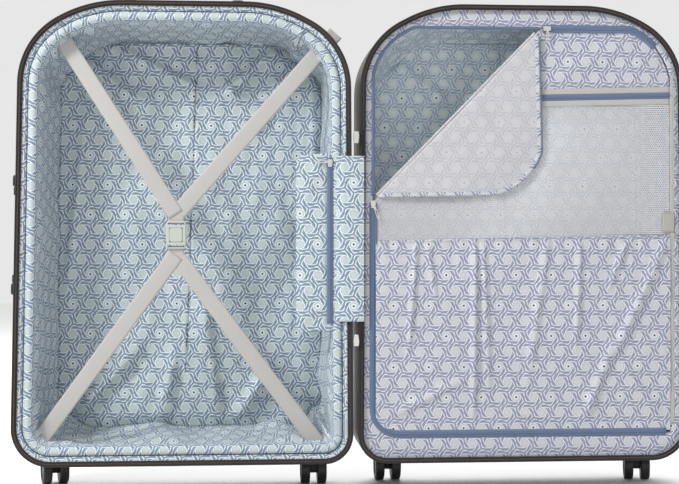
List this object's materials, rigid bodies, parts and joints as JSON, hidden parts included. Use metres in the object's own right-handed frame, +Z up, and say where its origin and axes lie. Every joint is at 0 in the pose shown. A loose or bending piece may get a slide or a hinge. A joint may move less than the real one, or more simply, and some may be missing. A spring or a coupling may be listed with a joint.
{
  "type": "hard shell trolley suitcase",
  "caption": "Hard shell suitcase standing open on spinner casters, with lined halves, cross straps, zipped divider, telescopic handle and side lock.",
  "frame": {"origin": "on the floor under the middle of the open case", "axes": "+X to the right along the open case, +Y towards the shells' backs, +Z up"},
  "size_m": [1.0694, 0.1594, 0.7714],
  "materials": {
    "shell": "deep brown-black moulded shell, fine satin grain",
    "zip_tape": "woven dark tape",
    "print_cool": "thin printed lining, cool grey-blue",
    "print_warm": "thin printed lining, pale lavender grey",
    "webbing": "woven strap",
    "buckle": "satin grey-green plastic",
    "blue_zip": "blue zip tape and coil",
    "mesh": "white knitted mesh",
    "binding": "beige grey woven binding",
    "black_plastic": "black plastic, fine grain",
    "wheel": "black tread",
    "aluminium": "drawn tube",
    "bright": "die-cast, plated"
  },
  "bodies": {
    "rear_half": {"rear_shell": "shell", "rear_zip_tape": "zip_tape", "rear_lining": "print_cool", "hinge_strip_rear": "print_cool", "straps_upper": "webbing", "straps_lower": "webbing", "buckle_body": "buckle", "hinge_pocket": "print_cool", "hinge_pocket_zip": "blue_zip", "handle_mounts": "black_plastic", "trolley_bezel": "black_plastic", "trolley_outer_tubes": "aluminium", "caster_1_housing": "black_plastic", "caster_2_housing": "black_plastic"},
    "front_half": {"front_shell": "shell", "front_zip_tape": "zip_tape", "front_lining": "print_warm", "hinge_strip_front": "print_warm", "divider_border": "print_warm", "divider_zip": "blue_zip", "divider_top_panel": "print_warm", "mesh_panel": "mesh", "gathered_pocket": "print_warm", "mesh_zip": "blue_zip", "divider_binding": "binding", "lock_body": "black_plastic", "caster_3_housing": "black_plastic", "caster_4_housing": "black_plastic"},
    "buckle_button": {"buckle_button": "buckle"},
    "pocket_slider": {"pocket_slider": "bright"},
    "main_slider_upper": {"main_slider_upper": "bright"},
    "main_slider_lower": {"main_slider_lower": "bright"},
    "divider_flap": {"divider_flap": "print_warm"},
    "divider_slider_top": {"divider_slider_top": "bright"},
    "divider_slider_low": {"divider_slider_low": "bright"},
    "divider_pull_top": {"divider_pull_top": "bright"},
    "divider_pull_low": {"divider_pull_low": "bright"},
    "mesh_slider": {"mesh_slider": "bright"},
    "lock_dial_1": {"lock_dial_1": "bright"},
    "lock_dial_2": {"lock_dial_2": "bright"},
    "lock_dial_3": {"lock_dial_3": "bright"},
    "lock_button": {"lock_button": "bright"},
    "top_handle": {"top_handle": "black_plastic"},
    "side_handle": {"side_handle": "black_plastic"},
    "trolley_middle": {"trolley_middle_tubes": "aluminium"},
    "trolley_top": {"trolley_inner_tubes": "aluminium", "trolley_grip": "black_plastic"},
    "trolley_button": {"trolley_button": "black_plastic"},
    "caster_1": {"caster_1_fork": "black_plastic"},
    "caster_1_wheel_left": {"caster_1_wheel_left": "wheel"},
    "caster_1_wheel_right": {"caster_1_wheel_right": "wheel"},
    "caster_2": {"caster_2_fork": "black_plastic"},
    "caster_2_wheel_left": {"caster_2_wheel_left": "wheel"},
    "caster_2_wheel_right": {"caster_2_wheel_right": "wheel"},
    "caster_3": {"caster_3_fork": "black_plastic"},
    "caster_3_wheel_left": {"caster_3_wheel_left": "wheel"},
    "caster_3_wheel_right": {"caster_3_wheel_right": "wheel"},
    "caster_4": {"caster_4_fork": "black_plastic"},
    "caster_4_wheel_left": {"caster_4_wheel_left": "wheel"},
    "caster_4_wheel_right": {"caster_4_wheel_right": "wheel"}
  },
  "joints": [
    {"name": "case_hinge", "type": "hinge", "parent": "rear_half", "child": "front_half", "pos_m": [0.00133, -0.07468, 0.394], "axis": [0, 0, -1], "range_deg": [0, 180]},
    {"name": "buckle_press", "type": "slide", "parent": "rear_half", "child": "buckle_button", "axis": [0, 1, 0], "range_m": [0, 0.0024], "stiffness_N_per_m": 400},
    {"name": "pocket_zip_slide", "type": "slide", "parent": "rear_half", "child": "pocket_slider", "axis": [0, 0, -1], "range_m": [0, 0.235]},
    {"name": "main_zip_upper", "type": "slide", "parent": "rear_half", "child": "main_slider_upper", "axis": [0, 0, 1], "range_m": [0, 0.006]},
    {"name": "main_zip_lower", "type": "slide", "parent": "rear_half", "child": "main_slider_lower", "axis": [0, 0, -1], "range_m": [0, 0.006]},
    {"name": "divider_corner_fold", "type": "hinge", "parent": "front_half", "child": "divider_flap", "pos_m": [0.03083, -0.06588, 0.459], "axis": [-0.6989, 0, -0.7152], "range_deg": [0, 180]},
    {"name": "divider_zip_top", "type": "slide", "parent": "front_half", "child": "divider_slider_top", "axis": [1, 0, 0], "range_m": [0, 0.08]},
    {"name": "divider_zip_low", "type": "slide", "parent": "front_half", "child": "divider_slider_low", "axis": [0, 0, -1], "range_m": [0, 0.3]},
    {"name": "divider_pull_top_swing", "type": "hinge", "parent": "divider_slider_top", "child": "divider_pull_top", "pos_m": [0.30483, -0.06867, 0.726], "axis": [-1, 0, 0], "range_deg": [0, 170]},
    {"name": "divider_pull_low_swing", "type": "hinge", "parent": "divider_slider_low", "child": "divider_pull_low", "pos_m": [0.02883, -0.06867, 0.448], "axis": [-0.9272, 0, -0.3746], "range_deg": [0, 170]},
    {"name": "mesh_zip_slide", "type": "slide", "parent": "front_half", "child": "mesh_slider", "axis": [0.9997, 0, 0.0258], "range_m": [0, 0.255]},
    {"name": "lock_dial_1_turn", "type": "hinge", "parent": "front_half", "child": "lock_dial_1", "pos_m": [0.52953, -0.00428, 0.394], "axis": [0, 0, 1], "continuous": true},
    {"name": "lock_dial_2_turn", "type": "hinge", "parent": "front_half", "child": "lock_dial_2", "pos_m": [0.52953, -0.00428, 0.404], "axis": [0, 0, 1], "continuous": true},
    {"name": "lock_dial_3_turn", "type": "hinge", "parent": "front_half", "child": "lock_dial_3", "pos_m": [0.52953, -0.00428, 0.414], "axis": [0, 0, 1], "continuous": true},
    {"name": "lock_press", "type": "slide", "parent": "front_half", "child": "lock_button", "axis": [-1, 0, 0], "range_m": [0, 0.0015], "stiffness_N_per_m": 400},
    {"name": "top_handle_fold", "type": "hinge", "parent": "rear_half", "child": "top_handle", "pos_m": [-0.26617, -0.01628, 0.7672], "axis": [1, 0, 0], "range_deg": [0, 90]},
    {"name": "side_handle_fold", "type": "hinge", "parent": "rear_half", "child": "side_handle", "pos_m": [-0.52887, -0.02428, 0.40009], "axis": [0.0182, 0, 0.9998], "range_deg": [0, 90]},
    {"name": "trolley_first_stage", "type": "slide", "parent": "rear_half", "child": "trolley_middle", "axis": [0, 0, 1], "range_m": [0, 0.19]},
    {"name": "trolley_second_stage", "type": "slide", "parent": "trolley_middle", "child": "trolley_top", "axis": [0, 0, 1], "range_m": [0, 0.19]},
    {"name": "trolley_release", "type": "slide", "parent": "trolley_top", "child": "trolley_button", "axis": [0, 0, -1], "range_m": [0, 0.0025], "stiffness_N_per_m": 400},
    {"name": "caster_1_swivel", "type": "hinge", "parent": "rear_half", "child": "caster_1", "pos_m": [-0.47217, 0.02973, 0.058], "axis": [0, 0, 1], "continuous": true},
    {"name": "caster_1_left_roll", "type": "hinge", "parent": "caster_1", "child": "caster_1_wheel_left", "pos_m": [-0.47556, 0.04331, 0.024], "axis": [0.9703, 0.2419, 0], "continuous": true},
    {"name": "caster_1_right_roll", "type": "hinge", "parent": "caster_1", "child": "caster_1_wheel_right", "pos_m": [-0.47556, 0.04331, 0.024], "axis": [0.9703, 0.2419, 0], "continuous": true},
    {"name": "caster_2_swivel", "type": "hinge", "parent": "rear_half", "child": "caster_2", "pos_m": [-0.06017, 0.02973, 0.058], "axis": [0, 0, 1], "continuous": true},
    {"name": "caster_2_left_roll", "type": "hinge", "parent": "caster_2", "child": "caster_2_wheel_left", "pos_m": [-0.06017, 0.01572, 0.024], "axis": [-1, 0, 0], "continuous": true},
    {"name": "caster_2_right_roll", "type": "hinge", "parent": "caster_2", "child": "caster_2_wheel_right", "pos_m": [-0.06017, 0.01572, 0.024], "axis": [-1, 0, 0], "continuous": true},
    {"name": "caster_3_swivel", "type": "hinge", "parent": "front_half", "child": "caster_3", "pos_m": [0.06283, 0.02973, 0.058], "axis": [0, 0, 1], "continuous": true},
    {"name": "caster_3_left_roll", "type": "hinge", "parent": "caster_3", "child": "caster_3_wheel_left", "pos_m": [0.06283, 0.04372, 0.024], "axis": [1, 0, 0], "continuous": true},
    {"name": "caster_3_right_roll", "type": "hinge", "parent": "caster_3", "child": "caster_3_wheel_right", "pos_m": [0.06283, 0.04372, 0.024], "axis": [1, 0, 0], "continuous": true},
    {"name": "caster_4_swivel", "type": "hinge", "parent": "front_half", "child": "caster_4", "pos_m": [0.47483, 0.02973, 0.058], "axis": [0, 0, 1], "continuous": true},
    {"name": "caster_4_left_roll", "type": "hinge", "parent": "caster_4", "child": "caster_4_wheel_left", "pos_m": [0.47192, 0.01603, 0.024], "axis": [-0.9781, 0.2079, 0], "continuous": true},
    {"name": "caster_4_right_roll", "type": "hinge", "parent": "caster_4", "child": "caster_4_wheel_right", "pos_m": [0.47192, 0.01603, 0.024], "axis": [-0.9781, 0.2079, 0], "continuous": true}
  ]
}
